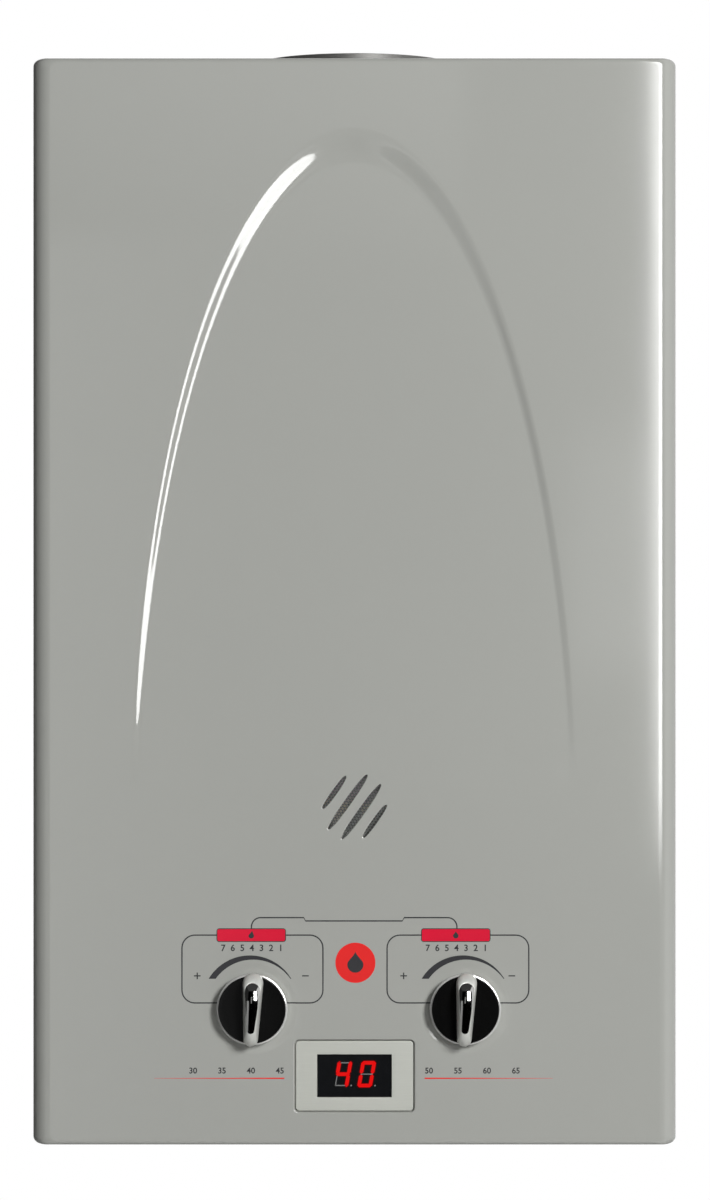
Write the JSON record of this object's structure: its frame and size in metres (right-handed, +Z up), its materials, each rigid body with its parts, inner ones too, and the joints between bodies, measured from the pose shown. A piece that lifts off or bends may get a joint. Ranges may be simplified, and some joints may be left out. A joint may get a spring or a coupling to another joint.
{
  "type": "tankless gas water heater",
  "caption": "Wall-hung instantaneous gas water heater: pressed silver cover with an arch, two bar knobs, a digital display and a round flue collar.",
  "frame": {"origin": "middle of the wall plate's back face, on the wall", "axes": "+X right seen from the front, +Y into the wall, +Z up"},
  "size_m": [0.355, 0.1834, 0.6015],
  "materials": {
    "case_paint": "gloss silver-grey lacquer",
    "bezel_plastic": "satin silver paint",
    "smoked_window": "gloss",
    "circuit_board": "solder mask",
    "mesh_steel": "satin",
    "zinc_sheet": "galvanised",
    "flue_metal": "satin",
    "fastener_steel": "zinc plated",
    "copper": "bright copper",
    "brass": "as machined",
    "burner_steel": "satin stainless",
    "tube_steel": "satin",
    "cast_alloy": "die cast",
    "white_ceramic": "unglazed",
    "black_plastic": "fine grain",
    "grey_plastic": "fine grain",
    "cell_wrap": "plain sleeve",
    "knob_black": "high gloss",
    "knob_chrome": "plated"
  },
  "bodies": {
    "chassis": {"rear_plate": "zinc_sheet", "top_plate": "zinc_sheet", "pipe_shelf": "zinc_sheet", "core_brackets": "zinc_sheet", "chassis_screws": "fastener_steel", "cover_screws": "fastener_steel", "draught_hood": "zinc_sheet", "flue_collar": "flue_metal", "spill_sensor": "white_ceramic", "block_shell": "copper", "block_fins": "copper", "block_tubes": "copper", "combustion_chamber": "copper", "chamber_coil": "copper", "overheat_sensor": "white_ceramic", "temperature_probe": "black_plastic", "hot_pipe": "copper", "hot_outlet": "brass", "burner_frame": "zinc_sheet", "burner_bars": "burner_steel", "gas_manifold": "tube_steel", "gas_jets": "brass", "ignition_electrodes": "white_ceramic", "flame_sensor": "white_ceramic", "gas_feed_pipe": "tube_steel", "gas_valve": "cast_alloy", "gas_solenoid": "black_plastic", "gas_inlet": "brass", "pipe_nuts": "brass", "water_valve": "brass", "diaphragm_housing": "brass", "diaphragm_screws": "fastener_steel", "water_inlet": "brass", "cold_pipe": "copper", "return_spring": "fastener_steel", "valve_switch": "black_plastic", "lever_pin": "fastener_steel", "control_box": "grey_plastic", "battery_box": "black_plastic", "battery_cells": "cell_wrap", "lid_pin": "fastener_steel"},
    "front_cover": {"front_cover": "case_paint", "display_bezel": "bezel_plastic", "display_window": "smoked_window", "display_board": "circuit_board", "vent_mesh": "mesh_steel"},
    "gas_spindle": {"gas_spindle": "fastener_steel"},
    "gas_knob": {"gas_knob_disc": "knob_black", "gas_knob_rim": "knob_chrome", "gas_knob_grip": "knob_chrome"},
    "water_spindle": {"water_spindle": "fastener_steel"},
    "water_knob": {"water_knob_disc": "knob_black", "water_knob_rim": "knob_chrome", "water_knob_grip": "knob_chrome"},
    "push_rod": {"push_rod": "fastener_steel"},
    "switch_lever": {"switch_lever": "fastener_steel"},
    "battery_lid": {"battery_lid": "black_plastic"},
    "drain_plug": {"drain_plug": "black_plastic"}
  },
  "joints": [
    {"name": "cover_off", "type": "slide", "parent": "chassis", "child": "front_cover", "axis": [0, -1, 0], "range_m": [0, 0.22]},
    {"name": "gas_turn", "type": "hinge", "parent": "chassis", "child": "gas_spindle", "pos_m": [-0.0555, -0.12, -0.221], "axis": [0, -1, 0], "range_deg": [-53, 53]},
    {"name": "gas_knob_pull", "type": "slide", "parent": "gas_spindle", "child": "gas_knob", "axis": [0, -1, 0], "range_m": [0, 0.22]},
    {"name": "water_turn", "type": "hinge", "parent": "chassis", "child": "water_spindle", "pos_m": [0.0601, -0.12, -0.221], "axis": [0, -1, 0], "range_deg": [-53, 53]},
    {"name": "water_knob_pull", "type": "slide", "parent": "water_spindle", "child": "water_knob", "axis": [0, -1, 0], "range_m": [0, 0.22]},
    {"name": "rod_push", "type": "slide", "parent": "chassis", "child": "push_rod", "axis": [-1, 0, 0], "range_m": [0, 0.004], "stiffness_N_per_m": 600, "springref_m": -0.001, "deforming": ["return_spring"]},
    {"name": "lever_swing", "type": "hinge", "parent": "chassis", "child": "switch_lever", "pos_m": [0.0032, -0.09, -0.2005], "axis": [0, 1, 0], "range_deg": [0, 18]},
    {"name": "lid_swing", "type": "hinge", "parent": "chassis", "child": "battery_lid", "pos_m": [0.13, -0.0671, -0.2909], "axis": [1, 0, 0], "range_deg": [0, 95]},
    {"name": "drain_out", "type": "slide", "parent": "chassis", "child": "drain_plug", "axis": [0, 0, -1], "range_m": [0, 0.012]}
  ],
  "couplings": [
    {"joint": "gas_knob_pull", "follows": "cover_off", "ratio": 1},
    {"joint": "water_knob_pull", "follows": "cover_off", "ratio": 1},
    {"joint": "lever_swing", "follows": "rod_push", "rad_per_m": 78}
  ]
}
